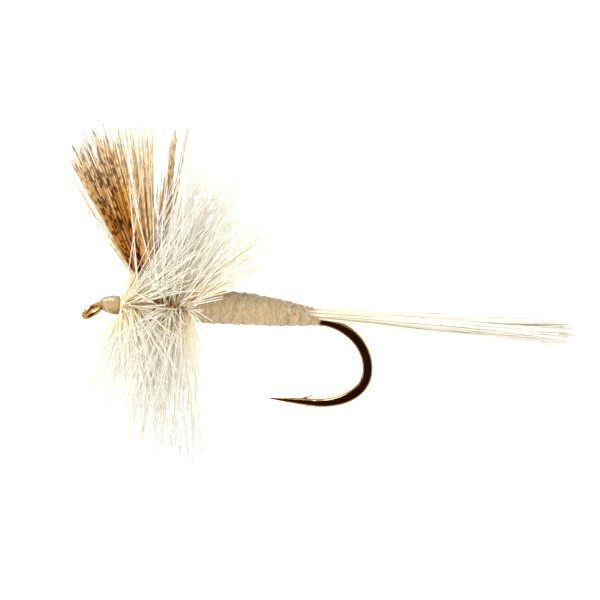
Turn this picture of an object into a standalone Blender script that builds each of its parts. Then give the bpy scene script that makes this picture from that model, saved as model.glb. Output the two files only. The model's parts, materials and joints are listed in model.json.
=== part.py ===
"""A dry fly: a light mayfly pattern tied on a size 12 down-eye hook.

Sizes are in millimetres in the fly's own frame: X runs along the shank from the eye to the tail, Y is
sideways and Z is up, with the origin on the shank's centre line where the wire leaves for the eye.
Each piece is wound or laid on the one below it, so every radius is worked out from the wire outwards.
Last, the whole fly is set down on its hackle tips and the bend of its hook.
"""

import math

import bmesh
import bpy
import numpy as np
from mathutils import Matrix, Vector

MM = 0.001
CLEAR = 0.012  # air left between pieces that lie against each other

# Hook
WIRE = 0.45
SHANK = 10.82
GAPE = 4.10  # shank to spear, centre to centre
BEND_DROP = 2.36  # shank down to the rearmost point of the bend
BEND_UPPER_REACH = 2.60
BEND_LOWER_REACH = 1.80
FORGED_WIDTH = 0.36  # between the two flats pressed on the bend
FORGED_HEIGHT = 0.54
SPEAR = 3.00
POINT_TAPER = 2.10
BARB_FROM_POINT = 1.85
BARB_LENGTH = 0.46
BARB_RISE = 0.21
EYE_ANGLE = 36.0  # degrees below the shank
EYE_RING = 0.47  # to the wire's centre line
EYE_REACH = 0.68  # shank's end to the ring's centre
EYE_WIRE = 0.31

# Tying thread, flattened by its own tension
THREAD = 0.03
BASE_FRONT = 0.08

# Tail
TAIL_FIBRE = 0.06
TAIL_ROWS = (5, 5, 3)  # fibres in each row over the shank, inner row first
TAIL_BUTTS = 6.45
TAIL_LENGTH = 12.55  # behind the start of the bend
TAIL_TIP_WIDTH = 1.6
TAIL_TIP_HEIGHT = 1.5
TAIL_RISE = 0.012

# Wings: two bunches of flank fibres tied in with their butts towards the tail
WING_FIBRE = 0.09
WING_COLUMNS = 3
WING_ROWS = 3
WING_PARTING = 0.07
WING_STATION = 2.30  # centre of the fibres' upward turn
WING_TURN = 0.10
WING_BUTTS = 6.25
WING_LENGTHS = (7.8, 9.7, 9.1)  # front, middle and rear fibres, from the turn to the tip

WINGS = {
    # side of the shank, lean of the bound post, front and rear of the fan, sideways lean: all in degrees
    "left": {"side": -1, "post_lean": 24, "fan": (39, 8), "sideways": 15, "post": 1.15},
    "right": {"side": 1, "post_lean": 4, "fan": (17, -13), "sideways": 15, "post": 0.95},
}

# Body
BODY_FRONT = 4.66
BODY_REAR = 10.62
BODY_TURNS = 11
BODY_RIDGE = 0.03
BODY_SKIN = 0.06  # the least fur over the thread
BODY_PLUMP = 0.36  # fur over the thread at the thorax, where it is thickest
BODY_LIFT = 0.10  # how far the thorax sits above the windings under it

# Hackles: two feathers wound together, first behind the wings and then before them
HACKLE_STEM = 0.15
HACKLE_TIP_STEM = 0.09
HACKLE_TO_BODY = 0.26
HACKLE_PITCH = 0.38
HACKLE_REAR_TURNS = 4.5
HACKLE_FRONT_TURNS = 2.0
HACKLE_BARB = 7.2
HACKLE_BUTTS = 5.55
STEPS_PER_TURN = 10

# Head
HEAD_FRONT = 0.0
HEAD_TO_DAM = 0.05
VARNISH = 0.03

SLEEVE_SIDES = 16
SHANK_SIDES = 12


def material(name, colour, roughness, metallic=0.0):
    made = bpy.data.materials.new(name)
    made.use_nodes = True
    surface = made.node_tree.nodes["Principled BSDF"]
    surface.inputs["Base Color"].default_value = (*colour, 1.0)
    surface.inputs["Roughness"].default_value = roughness
    surface.inputs["Metallic"].default_value = metallic
    return made


def add_piece(name, points, faces, finish, smooth_angle=40.0):
    """A mesh object from points in millimetres, shaded smooth below the given angle."""
    mesh = bpy.data.meshes.new(name)
    mesh.from_pydata([Vector(p) * MM for p in points], [], faces)
    mesh.materials.append(finish)
    mesh.shade_smooth()
    mesh.set_sharp_from_angle(angle=math.radians(smooth_angle))
    piece = bpy.data.objects.new(name, mesh)
    bpy.context.scene.collection.objects.link(piece)
    return piece


def loft(rings, closed=False):
    """Faces that join rings of equal size, capped at both ends unless the rings run round in a loop."""
    count = len(rings[0])
    points = [p for ring in rings for p in ring]
    faces = []
    for i in range(len(rings) if closed else len(rings) - 1):
        a = i * count
        b = (i + 1) % len(rings) * count
        for j in range(count):
            k = (j + 1) % count
            faces.append((a + j, a + k, b + k, b + j))
    if not closed:
        last = (len(rings) - 1) * count
        faces.append(tuple(reversed(range(count))))
        faces.append(tuple(range(last, last + count)))
    return points, faces


def tangents(path):
    found = []
    for i in range(len(path)):
        ahead = path[min(i + 1, len(path) - 1)]
        behind = path[max(i - 1, 0)]
        found.append((ahead - behind).normalized())
    return found


def carried_frames(path, side):
    """(side, up) for each point, carried along the path without twist from the first side vector."""
    frames = []
    for direction in tangents(path):
        side = (side - direction * side.dot(direction)).normalized()
        frames.append((side, side.cross(direction).normalized()))
    return frames


def round_tube(path, radii, sides, side=Vector((0, 1, 0)), frames=None):
    """Rings of a tube along a path. frames gives (side, up) for each point where twist matters."""
    frames = frames or carried_frames(path, side)
    rings = []
    for centre, radius, (across, up) in zip(path, radii, frames):
        turn = [2 * math.pi * (j + 0.5) / sides for j in range(sides)]
        rings.append([centre + (across * math.sin(q) + up * math.cos(q)) * radius for q in turn])
    return rings


def smooth_step(t):
    t = min(1.0, max(0.0, t))
    return t * t * (3 - 2 * t)


def mix(a, b, t):
    return a + (b - a) * t


# ---------------------------------------------------------------- sections round the shank


def smallest_round(circles):
    """(height, radius) of the smallest circle centred over the shank that holds circles of (y, z, radius)."""

    def reach(height):
        return max(math.hypot(y, z - height) + r for y, z, r in circles)

    low, high = 0.0, 2.0
    for _ in range(60):
        third = (high - low) / 3
        if reach(low + third) < reach(high - third):
            high -= third
        else:
            low += third
    return low, reach(low)


def grown(section, by):
    return section[0], section[1] + by


def between(a, b, t):
    return mix(a[0], b[0], t), mix(a[1], b[1], t)


def on_section(section, angle, x):
    """A point on a section at an angle measured from the top towards +Y."""
    height, radius = section
    return Vector((x, radius * math.sin(angle), height + radius * math.cos(angle)))


def section_ring(x, section, sides=SLEEVE_SIDES):
    return [on_section(section, 2 * math.pi * j / sides, x) for j in range(sides)]


def sleeve(name, outside, inside, finish):
    """A wound sleeve from lists of (x, section), both from front to back."""
    rings = [section_ring(x, s) for x, s in inside]
    rings += [section_ring(x, s) for x, s in reversed(outside)]
    points, faces = loft(rings, closed=True)
    return add_piece(name, points, faces, finish)


# ---------------------------------------------------------------- sizes that follow from the layers

WIRE_R = WIRE / 2
BASE_INSIDE = (0.0, WIRE_R + CLEAR)
BASE_OUTSIDE = grown(BASE_INSIDE, THREAD)


def tail_places():
    """(y, z) of each tail fibre's butt, in rows bent over the thread base."""
    places = []
    for row, count in enumerate(TAIL_ROWS):
        radius = BASE_OUTSIDE[1] + CLEAR + TAIL_FIBRE / 2 + row * (TAIL_FIBRE + CLEAR)
        step = (TAIL_FIBRE + CLEAR) / radius
        for j in range(count):
            angle = (j - (count - 1) / 2) * step
            places.append((radius * math.sin(angle), radius * math.cos(angle)))
    return places


def wing_places():
    """(column, row, y, z) of each wing fibre's butt on the +Y side, row 0 against the thread base."""
    pitch = WING_FIBRE + CLEAR
    places = []
    for column in range(WING_COLUMNS):
        y = WING_PARTING / 2 + WING_FIBRE / 2 + column * pitch
        for row in range(WING_ROWS):
            radius = BASE_OUTSIDE[1] + CLEAR + WING_FIBRE / 2 + row * pitch
            places.append((column, row, y, math.sqrt(max(radius**2 - y**2, 0.0))))
    return places


def wing_turn_radius(column, z):
    """Radius of a fibre's upward turn. The fibres of one column turn round the same centre."""
    top_z = max(pz for pc, _, _, pz in wing_places() if pc == column)
    return top_z + WING_TURN - z


def wing_reach():
    """How far the feet of the wings come forward of their station."""
    widest_turn = max(wing_turn_radius(column, z) for column, _, _, z in wing_places())
    steepest = math.radians(min(wing["post_lean"] for wing in WINGS.values()))
    return widest_turn * math.cos(steepest) + WING_FIBRE / 2


def hackle_butt_place():
    """(y, z) of a hackle's butt on the +Y side: beside the shank, or lower where the wing butts reach that far."""
    reach = BASE_OUTSIDE[1] + CLEAR + HACKLE_STEM / 2
    apart = (WING_FIBRE + HACKLE_STEM) / 2 + CLEAR
    angle = math.pi / 2
    for _, _, y, z in wing_places():
        out = math.hypot(y, z)
        between_them = (out**2 + reach**2 - apart**2) / (2 * out * reach)
        if between_them > -1:
            angle = max(angle, math.atan2(y, z) + math.acos(min(1.0, between_them)))
    return reach * math.sin(angle), reach * math.cos(angle)


def circle_list(places, diameter):
    return [(side * y, z, diameter / 2 + CLEAR) for y, z in places for side in (-1, 1)]


BASE_CIRCLE = (0.0, 0.0, BASE_OUTSIDE[1] + CLEAR)
TAIL_WRAP = smallest_round([BASE_CIRCLE, *circle_list(tail_places(), TAIL_FIBRE)])
WING_CIRCLES = circle_list([(y, z) for _, _, y, z in wing_places()], WING_FIBRE)
WING_WRAP = smallest_round([BASE_CIRCLE, *WING_CIRCLES])
BUTT_WRAP = smallest_round([BASE_CIRCLE, *WING_CIRCLES, *circle_list([hackle_butt_place()], HACKLE_STEM)])

REAR_START = BODY_FRONT - HACKLE_TO_BODY
REAR_END = REAR_START - HACKLE_REAR_TURNS * HACKLE_PITCH
FRONT_START = WING_STATION - wing_reach() - CLEAR - (HACKLE_STEM + HACKLE_PITCH) / 2
FRONT_END = FRONT_START - HACKLE_FRONT_TURNS * HACKLE_PITCH

DAM_FRONT = FRONT_END - 0.02
DAM_REAR = FRONT_START + 0.16
HEAD_REAR = DAM_FRONT - HEAD_TO_DAM
DAM_NOSE = grown(BASE_OUTSIDE, CLEAR + THREAD)
DAM_HEEL = (0.10, BASE_OUTSIDE[1] + CLEAR + THREAD + 0.10)

# Hackle tips tied down under the head
STEP_SAG = 1 / math.cos(math.pi / STEPS_PER_TURN)  # lifts a stem's straight steps clear of what it winds on
TIP_RADIUS = (BASE_OUTSIDE[1] + CLEAR + HACKLE_TIP_STEM / 2) * STEP_SAG
HEAD_BORE = TIP_RADIUS + HACKLE_TIP_STEM / 2 + CLEAR
TIP_END = mix(HEAD_FRONT, HEAD_REAR, 0.5)


def wound_surface(x):
    """The section that the hackle stems lie on: the dam before the wings and the lashing behind them."""
    if x <= DAM_REAR:
        return between(DAM_NOSE, DAM_HEEL, smooth_step((x - DAM_FRONT) / (DAM_REAR - DAM_FRONT)))
    behind = grown(WING_WRAP, THREAD)
    return between(DAM_HEEL, behind, smooth_step((x - DAM_REAR) / (REAR_END - DAM_REAR)))


# ---------------------------------------------------------------- hook


def hook_path():
    """[(point, height, width)] from the hook's point round the bend and along the shank to the eye's end."""
    bottom_x = SHANK + BEND_UPPER_REACH - BEND_LOWER_REACH
    rear = -BEND_DROP
    path = []
    for t in (0.0, 0.06, 0.16, 0.3, 0.48, 0.7, 1.0):
        size = mix(0.02, WIRE * 0.94, t**0.72)
        path.append((Vector((bottom_x - SPEAR + t * POINT_TAPER, 0, -GAPE)), size, size))
    steps = 11
    for i in range(steps):
        a = math.pi / 2 * (1 - i / (steps - 1))
        x = bottom_x + BEND_LOWER_REACH * math.cos(a)
        z = rear - (GAPE - BEND_DROP) * math.sin(a)
        forged = smooth_step(i / 4)
        path.append((Vector((x, 0, z)), mix(WIRE * 0.96, FORGED_HEIGHT, forged), mix(WIRE, FORGED_WIDTH, forged)))
    for i in range(1, steps):
        a = math.pi / 2 * (1 - i / (steps - 1))
        forged = smooth_step((steps - 1 - i) / 4)
        x = SHANK + BEND_UPPER_REACH * math.sin(a)
        z = rear + BEND_DROP * math.cos(a)
        path.append((Vector((x, 0, z)), mix(WIRE, FORGED_HEIGHT, forged), mix(WIRE, FORGED_WIDTH, forged)))
    path.append((Vector((0.30, 0, 0)), WIRE, WIRE))
    return path + eye_path()


def eye_path():
    down = math.radians(EYE_ANGLE)
    out = Vector((-math.cos(down), 0, -math.sin(down)))
    across = Vector((0, 1, 0))

    def ring(degrees):
        q = math.radians(degrees)
        return out * (EYE_REACH + EYE_RING * math.cos(q)) + across * EYE_RING * math.sin(q)

    joins, ends, steps = 128, -161, 19
    start, start_pull = Vector((0.03, 0, 0)), Vector((-0.14, 0, 0))
    q = math.radians(joins)
    finish, finish_pull = ring(joins), (out * math.sin(q) - across * math.cos(q)) * 0.20
    path = []
    for i in range(5):
        t = i / 5
        controls = (start, start + start_pull, finish - finish_pull, finish)
        weights = ((1 - t) ** 3, 3 * t * (1 - t) ** 2, 3 * t * t * (1 - t), t**3)
        size = mix(WIRE * 0.97, EYE_WIRE, t)
        path.append((sum((c * w for c, w in zip(controls, weights)), Vector()), size, size))
    for i in range(steps):
        size = mix(EYE_WIRE, EYE_WIRE * 0.84, i / (steps - 1))
        path.append((ring(mix(joins, ends, i / (steps - 1))), size, size))
    return path


def make_hook(finish):
    stations = hook_path()
    path = [p for p, _, _ in stations]
    rings = []
    for (centre, height, width), (across, up) in zip(stations, carried_frames(path, Vector((0, 1, 0)))):
        ring = []
        for j in range(SHANK_SIDES):
            q = 2 * math.pi * j / SHANK_SIDES
            flat = max(-width / 2, min(width / 2, math.sin(q) * height / 2))
            ring.append(centre + across * flat + up * math.cos(q) * height / 2)
        rings.append(ring)
    points, faces = loft(rings)
    hook = add_piece("hook", points, faces, finish)
    raise_barb(hook.data)
    return hook


def raise_barb(mesh):
    """Draws the barb out of two faces on top of the spear, back and up towards the bend."""
    root_x = (SHANK + BEND_UPPER_REACH - BEND_LOWER_REACH - SPEAR + BARB_FROM_POINT) * MM
    shape = bmesh.new()
    shape.from_mesh(mesh)
    on_spear = [f for f in shape.faces if max(v.co.z for v in f.verts) < (-GAPE + WIRE) * MM]
    over_root = [f for f in on_spear if min(v.co.x for v in f.verts) <= root_x < max(v.co.x for v in f.verts)]
    top = sorted(over_root, key=lambda f: -f.calc_center_median().z)[:2]
    made = bmesh.ops.extrude_face_region(shape, geom=top)
    tip = [v for v in made["geom"] if isinstance(v, bmesh.types.BMVert)]
    bmesh.ops.delete(shape, geom=top, context="FACES_ONLY")
    middle = sum((v.co for v in tip), Vector()) / len(tip)
    for v in tip:
        v.co = middle + (v.co - middle) * 0.12 + Vector((BARB_LENGTH - 0.1, 0, BARB_RISE)) * MM
    bmesh.ops.recalc_face_normals(shape, faces=shape.faces)
    shape.to_mesh(mesh)
    shape.free()


# ---------------------------------------------------------------- thread


def make_thread(finish):
    """The one tying thread, as the windings it makes from the hook's bend to the head."""
    base_ends = (BASE_FRONT, SHANK - 0.05)
    sleeve("thread_base", [(x, BASE_OUTSIDE) for x in base_ends], [(x, BASE_INSIDE) for x in base_ends], finish)
    wound = (
        ("tail_lashing", TAIL_WRAP, TAIL_BUTTS + 0.25, SHANK - 0.02),
        ("butt_lashing", BUTT_WRAP, REAR_START + 0.22, WING_BUTTS + 0.05),
        ("wing_lashing", WING_WRAP, WING_STATION + 0.24, REAR_START + 0.02),
    )
    for name, inside, front, rear in wound:
        outside = grown(inside, THREAD)
        sleeve(name, [(front, outside), (rear, outside)], [(front, inside), (rear, inside)], finish)
    dam_stations = [mix(DAM_FRONT, DAM_REAR, t / 4) for t in range(5)]
    under = grown(BASE_OUTSIDE, CLEAR)
    sleeve("wing_dam", [(x, wound_surface(x)) for x in dam_stations], [(x, under) for x in (DAM_FRONT, DAM_REAR)], finish)
    sleeve("head_wraps", head_profile(0.0), head_bore(), finish)


HEAD_SHAPE = ((0.0, 0.02), (0.12, 0.062), (0.3, 0.095), (0.55, 0.118), (0.8, 0.13), (1.0, 0.112))


def head_profile(grow):
    """(x, section) down the outside of the head, a cone with a rounded nose."""
    stations = []
    for t, rise in HEAD_SHAPE:
        over_tips = (HEAD_BORE - BASE_OUTSIDE[1] - CLEAR) * smooth_step(t / 0.5)
        radius = BASE_OUTSIDE[1] + CLEAR + THREAD + over_tips * 0.55 + rise * 0.55 + grow
        stations.append((mix(HEAD_FRONT, HEAD_REAR, t), (0.0, radius)))
    return stations


def head_bore():
    narrow, wide = grown(BASE_OUTSIDE, CLEAR), (0.0, HEAD_BORE)
    step = TIP_END - 0.06
    return [(HEAD_FRONT, narrow), (step - 0.04, narrow), (step, wide), (HEAD_REAR, wide)]


def make_varnish(finish):
    inside, outside = head_profile(CLEAR), head_profile(CLEAR + VARNISH)
    sleeve("head_varnish", outside, inside, finish)


# ---------------------------------------------------------------- tail


def make_tail(finish):
    """Separate fibres: butts along the shank, tips spread behind the bend."""
    start = SHANK + 0.05
    places = tail_places()
    low, high = min(z for _, z in places), max(z for _, z in places)
    widest = max(y for y, _ in places)
    for index, (y, z) in enumerate(places):
        path = [Vector((TAIL_BUTTS, y, z)), Vector((SHANK - 0.4, y, z))]
        radii = [TAIL_FIBRE / 2, TAIL_FIBRE / 2]
        reach = TAIL_LENGTH * (0.90 + 0.10 * math.cos(2.4 * index))
        tip_y = y / widest * TAIL_TIP_WIDTH / 2
        tip_z = mix(low, high, 0.5) + ((z - low) / (high - low) - 0.5) * TAIL_TIP_HEIGHT
        for t in (0.0, 0.12, 0.3, 0.5, 0.7, 0.87, 1.0):
            spread = t**1.2
            lift = TAIL_RISE * t * reach
            path.append(Vector((start + t * reach, mix(y, tip_y, spread), mix(z, tip_z, spread) + lift)))
            radii.append(mix(TAIL_FIBRE, 0.014, t**0.8) / 2)
        points, faces = loft(round_tube(path, radii, 5))
        add_piece(f"tail_fibre_{index + 1:02d}", points, faces, finish)


# ---------------------------------------------------------------- wings

def wing_path(wing, column, row, y, z):
    """A fibre's line: along the shank, up through the turn, up the post, then out in the fan."""
    side = wing["side"]
    post_lean = math.radians(wing["post_lean"])
    sideways = math.radians(wing["sideways"])
    radius = wing_turn_radius(column, z)
    up = Vector((0, side * math.sin(sideways), math.cos(sideways)))
    foot = Vector((0, side * y, z))
    path = [foot + Vector((WING_BUTTS, 0, 0))]
    turned = math.pi / 2 - post_lean
    for i in range(5):
        a = turned * i / 4
        path.append(foot + Vector((WING_STATION - radius * math.sin(a), 0, 0)) + up * radius * (1 - math.cos(a)))
    along_post = Vector((-math.sin(post_lean), 0, 0)) + up * math.cos(post_lean)
    path.append(path[-1] + along_post * wing["post"])
    front, rear = wing["fan"]
    place = (row + column / WING_COLUMNS) / (WING_ROWS - 1 / WING_COLUMNS)
    fan = math.radians(mix(front, rear, place))
    spread = math.radians(wing["sideways"] + (column - 1) * 5.5)
    rise = Vector((0, side * math.sin(spread), math.cos(spread)))
    out = Vector((-math.sin(fan), 0, 0)) + rise * math.cos(fan)
    halves = (WING_LENGTHS[0], WING_LENGTHS[1]) if place < 0.5 else (WING_LENGTHS[1], WING_LENGTHS[2])
    length = mix(*halves, (place * 2) % 1.0 if place < 1 else 1.0) - wing["post"]
    for t in (0.1, 0.35, 0.6, 0.82, 1.0):
        blend = smooth_step(t / 0.2)
        path.append(path[6] + (along_post.lerp(out, blend)).normalized() * length * t)
    return path


def make_wings(finish):
    shares = [1, 1, 1, 1, 1, 1, 1, 1, 0.92, 0.76, 0.56, 0.2]
    for name, wing in WINGS.items():
        for index, (column, row, y, z) in enumerate(wing_places()):
            path = wing_path(wing, column, row, y, z)
            radii = [WING_FIBRE / 2 * share for share in shares]
            points, faces = loft(round_tube(path, radii, 5))
            add_piece(f"wing_fibre_{name}_{index + 1}", points, faces, finish)


def make_wing_posts(finish):
    """A short winding round the foot of each wing, which gathers and divides the fibres."""
    places = wing_places()
    for name, wing in WINGS.items():
        rings = []
        low, high = 0.52 * wing["post"], 0.86 * wing["post"]
        lines = [wing_path(wing, *place) for place in places]
        along = (lines[0][6] - lines[0][5]).normalized()
        foot = sum((line[5] for line in lines), Vector()) / len(lines)
        across = Vector((0, 1, 0))
        across = (across - along * across.dot(along)).normalized()
        forward = across.cross(along)
        half = [
            max(abs((p - foot).dot(way)) for line in lines for p in line[5:7]) + WING_FIBRE / 2 + CLEAR
            for way in (across, forward)
        ]
        corner = 0.42
        for distance, grow in ((low, THREAD), (high, THREAD), (high, 0.0), (low, 0.0)):
            ring = []
            for j in range(SLEEVE_SIDES):
                q = 2 * math.pi * j / SLEEVE_SIDES
                a = math.copysign(abs(math.sin(q)) ** corner, math.sin(q)) * (half[0] + grow)
                b = math.copysign(abs(math.cos(q)) ** corner, math.cos(q)) * (half[1] + grow)
                ring.append(foot + along * distance + across * a + forward * b)
            rings.append(ring)
        points, faces = loft(rings, closed=True)
        add_piece(f"wing_post_{name}", points, faces, finish)


# ---------------------------------------------------------------- body


def body_bore():
    """(x, section) along the body's inside, which follows the lashings under it."""
    over_butts = grown(BUTT_WRAP, THREAD + CLEAR)
    over_tail = grown(TAIL_WRAP, THREAD + CLEAR)
    meets = WING_BUTTS + 0.05 + CLEAR
    return [(BODY_FRONT, over_butts), (meets, over_butts), (meets + 0.2, over_tail), (BODY_REAR, over_tail)]


def body_section(t):
    """The body's outside, t from its front to its rear. It is thickest just behind the hackle."""
    bore = body_bore()
    plump = 1 - smooth_step((t - 0.08) / 0.92)
    height = mix(bore[-1][1][0], bore[0][1][0] + BODY_LIFT, plump)
    radius = mix(bore[-1][1][1], bore[0][1][1], plump) + BODY_LIFT * plump
    return height, radius + mix(BODY_SKIN + BODY_RIDGE, BODY_PLUMP - BODY_LIFT, plump)


def make_body(finish):
    """Fur spun on thread and wound in touching turns, each a low ridge."""
    steps = BODY_TURNS * 4
    outside = []
    for i in range(steps + 1):
        t = i / steps
        x = mix(BODY_FRONT, BODY_REAR, t)
        height, radius = body_section(t)
        radius -= (BODY_PLUMP - BODY_SKIN) * 0.4 * (1 - smooth_step(t * 10))
        ring = []
        for j in range(SLEEVE_SIDES):
            q = 2 * math.pi * j / SLEEVE_SIDES
            ridge = BODY_RIDGE * math.cos(2 * math.pi * t * BODY_TURNS - q)
            ring.append(on_section((height, radius + ridge), q, x))
        outside.append(ring)
    rings = [section_ring(x, s) for x, s in body_bore()] + outside[::-1]
    points, faces = loft(rings, closed=True)
    add_piece("body_dubbing", points, faces, finish)


# ---------------------------------------------------------------- hackles


def hackle_line(side):
    """[(point, outward, radius, turn, bears)] along a stem. bears is false where it has been stripped bare."""
    butt_y, butt_z = hackle_butt_place()
    start_angle = side * math.pi / 2
    line = []
    for x in (HACKLE_BUTTS, REAR_START + 0.24):
        line.append((Vector((x, side * butt_y, butt_z)), Vector((0, side, 0)), HACKLE_STEM / 2, 0.0, False))
    turns = HACKLE_REAR_TURNS + 0.5 + HACKLE_FRONT_TURNS
    # The crossing under the wings starts on the +Y side, so that the stem runs below the shank.
    cross_from = HACKLE_REAR_TURNS - (0.0 if side < 0 else 0.5)
    for i in range(round(turns * STEPS_PER_TURN) + 1):
        turn = i / STEPS_PER_TURN
        angle = start_angle + 2 * math.pi * turn
        x = REAR_START - HACKLE_PITCH * turn
        extra = REAR_END - FRONT_START - HACKLE_PITCH / 2
        x -= extra * smooth_step((turn - cross_from) / 0.5)
        radius = mix(HACKLE_STEM, HACKLE_TIP_STEM, turn / turns) / 2
        height, under = wound_surface(x)
        centre = on_section((height, (under + CLEAR + radius) * STEP_SAG), angle, x)
        outward = Vector((0, math.sin(angle), math.cos(angle)))
        crossing = 0.05 < (turn - cross_from) / 0.5 < 0.95
        line.append((centre, outward, radius, turn, not crossing))
    for x, further in ((mix(FRONT_END, HEAD_REAR, 0.8), 1), (HEAD_REAR - 0.08, 2), (TIP_END + 0.05, 2)):
        angle = start_angle + 2 * math.pi * (turns + further / STEPS_PER_TURN)
        outward = Vector((0, math.sin(angle), math.cos(angle)))
        centre = on_section((0.0, TIP_RADIUS), angle, x)
        line.append((centre, outward, HACKLE_TIP_STEM / 2, turns, False))
    return line


def barb_direction(centre, outward):
    """Barbs stand out from the stem. The wings push those above it back, or forward and aside."""
    if centre.x > WING_STATION:
        above = smooth_step((outward.z + 0.2) / 1.2)
        behind = (centre.x - REAR_END) / (REAR_START - REAR_END)
        lean = mix(mix(-4, 13, behind), mix(9, 58, behind), above)
    else:
        above = smooth_step((outward.z - 0.55) / 0.4)
        ahead = (FRONT_START - centre.x) / (FRONT_START - FRONT_END)
        lean = mix(mix(-8, -18, ahead), mix(-32, -38, ahead), above)
    lean = math.radians(lean)
    return (outward * math.cos(lean) + Vector((math.sin(lean), 0, 0))).normalized()


def make_hackle(name, side, finish):
    """A wound feather: one stem with its barbs drawn out of the faces that look away from the shank."""
    line = hackle_line(side)
    path = [p for p, _, _, _, _ in line]
    frames = []
    for direction, (_, outward, _, _, _) in zip(tangents(path), line):
        up = (outward - direction * outward.dot(direction)).normalized()
        frames.append((direction.cross(up), up))
    sides = 5
    rings = round_tube(path, [r for _, _, r, _, _ in line], sides, frames=frames)
    points, faces = loft(rings)
    piece = add_piece(name, points, faces, finish)
    shape = bmesh.new()
    shape.from_mesh(piece.data)
    bmesh.ops.recalc_face_normals(shape, faces=shape.faces)
    bearing = []
    round_stem = list(shape.faces)
    for i in range(len(line) - 1):
        if line[i][4] and line[i + 1][4]:
            outward = (line[i][1] + line[i + 1][1]).normalized()
            around = round_stem[i * sides : (i + 1) * sides]
            bearing.append((max(around, key=lambda f: f.normal.dot(outward)), outward))
    for face, outward in bearing:
        draw_barb(shape, face, outward)
    bmesh.ops.recalc_face_normals(shape, faces=shape.faces)
    shape.to_mesh(piece.data)
    shape.free()
    return piece


def draw_barb(shape, face, outward):
    """Draws one face out into a barb: a short root, then a taper to the tip."""
    middle = face.calc_center_median()
    along = barb_direction(middle / MM, outward)
    length = HACKLE_BARB * (0.93 + 0.07 * math.sin(middle.x / MM * 23))
    # (distance along the barb, size of the face there)
    for distance, size in ((0.10, 0.30), (0.93, 0.16)):
        made = bmesh.ops.extrude_discrete_faces(shape, faces=[face])
        face = made["faces"][0]
        goal = middle + along * length * distance * MM
        now = face.calc_center_median()
        for v in face.verts:
            v.co = goal + (v.co - now) * size / (1.0 if distance < 0.5 else 0.30)
    tip = bmesh.ops.poke(shape, faces=[face])["verts"][0]
    tip.co = middle + along * length * MM


# ---------------------------------------------------------------- the fly as it stands


def world_points(pieces):
    return np.array([v.co[:] for piece in pieces for v in piece.data.vertices])


def stand_on_surface(pieces):
    """Parents every piece to one empty, which sets the fly down with its origin under the middle of its box.

    The nose is raised until the hackle's lowest tip is level with the lowest of the hook and tail.
    """
    front = world_points([p for p in pieces if p.name.startswith("hackle")])
    rear = world_points([p for p in pieces if p.name == "hook" or p.name.startswith("tail")])

    def lowest(points, tilt):
        return (points[:, 2] * math.cos(tilt) - points[:, 0] * math.sin(tilt)).min()

    low, high = 0.0, math.radians(45)
    for _ in range(50):
        tilt = (low + high) / 2
        if lowest(front, tilt) < lowest(rear, tilt):
            low = tilt
        else:
            high = tilt
    turn = Matrix.Rotation(tilt, 4, "Y")
    placed = world_points(pieces) @ np.array(turn.to_3x3()).T
    least, most = placed.min(axis=0), placed.max(axis=0)
    stand = bpy.data.objects.new("fly", None)
    bpy.context.scene.collection.objects.link(stand)
    stand.location = (-(least[0] + most[0]) / 2, -(least[1] + most[1]) / 2, -least[2])
    stand.rotation_euler = (0, tilt, 0)
    for piece in pieces:
        piece.parent = stand


def main():
    for leftover in list(bpy.data.objects):
        bpy.data.objects.remove(leftover)
    bronze = material("bronzed_steel", (0.30, 0.17, 0.07), 0.28, 1.0)
    thread = material("cream_thread", (0.78, 0.68, 0.46), 0.55)
    cream = material("cream_hackle", (0.93, 0.90, 0.82), 0.5)
    tail = material("cream_tail", (0.92, 0.89, 0.80), 0.5)
    flank = material("barred_flank", (0.66, 0.43, 0.19), 0.6)
    fur = material("cream_fur", (0.84, 0.75, 0.56), 0.9)
    varnish = material("clear_varnish", (0.80, 0.72, 0.52), 0.08)
    make_hook(bronze)
    make_thread(thread)
    make_tail(tail)
    make_wings(flank)
    make_wing_posts(thread)
    make_body(fur)
    make_hackle("hackle_first", -1, cream)
    make_hackle("hackle_second", 1, cream)
    make_varnish(varnish)
    stand_on_surface([o for o in bpy.data.objects if o.type == "MESH"])


main()
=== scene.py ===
"""Looks for the dry fly: real fibres, spun fur, wound thread, varnish and bronzed wire on the CAD frame.

Sizes are in millimetres in the fly's own frame, as in the CAD: X runs along the shank from the eye to the
tail, Y is sideways and Z is up. to_world() places them in the row's frame. Fibres are drawn as strands,
which are centre lines with a thickness, and Geometry Nodes give them bodies and barbules.
"""

import json
import math
import random

import bmesh
import bpy
import numpy as np
from mathutils import Matrix, Vector


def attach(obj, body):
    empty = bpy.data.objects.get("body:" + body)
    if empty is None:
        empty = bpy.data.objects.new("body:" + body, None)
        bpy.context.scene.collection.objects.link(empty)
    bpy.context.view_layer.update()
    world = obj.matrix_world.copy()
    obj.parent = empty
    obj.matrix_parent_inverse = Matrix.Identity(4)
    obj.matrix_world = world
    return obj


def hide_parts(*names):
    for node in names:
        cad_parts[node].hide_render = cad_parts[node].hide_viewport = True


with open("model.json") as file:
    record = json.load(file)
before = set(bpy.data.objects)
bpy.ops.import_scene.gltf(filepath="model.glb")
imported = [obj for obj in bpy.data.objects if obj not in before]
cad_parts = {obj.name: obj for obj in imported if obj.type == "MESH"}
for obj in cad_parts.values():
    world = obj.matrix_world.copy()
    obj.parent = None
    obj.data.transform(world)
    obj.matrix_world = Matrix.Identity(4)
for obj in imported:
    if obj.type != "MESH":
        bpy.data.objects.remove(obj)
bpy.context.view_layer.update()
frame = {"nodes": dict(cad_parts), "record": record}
chance = random.Random(12)
MM = 0.001
ALONG = np.array((1, 0, 0))  # the shank's way, from the eye to the tail
FLOOR_GAP = 0.00004  # metres: no fibre's centre line goes lower than this
FLOOR_EASE = 0.0002  # metres over which a fibre settles onto the floor

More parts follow.
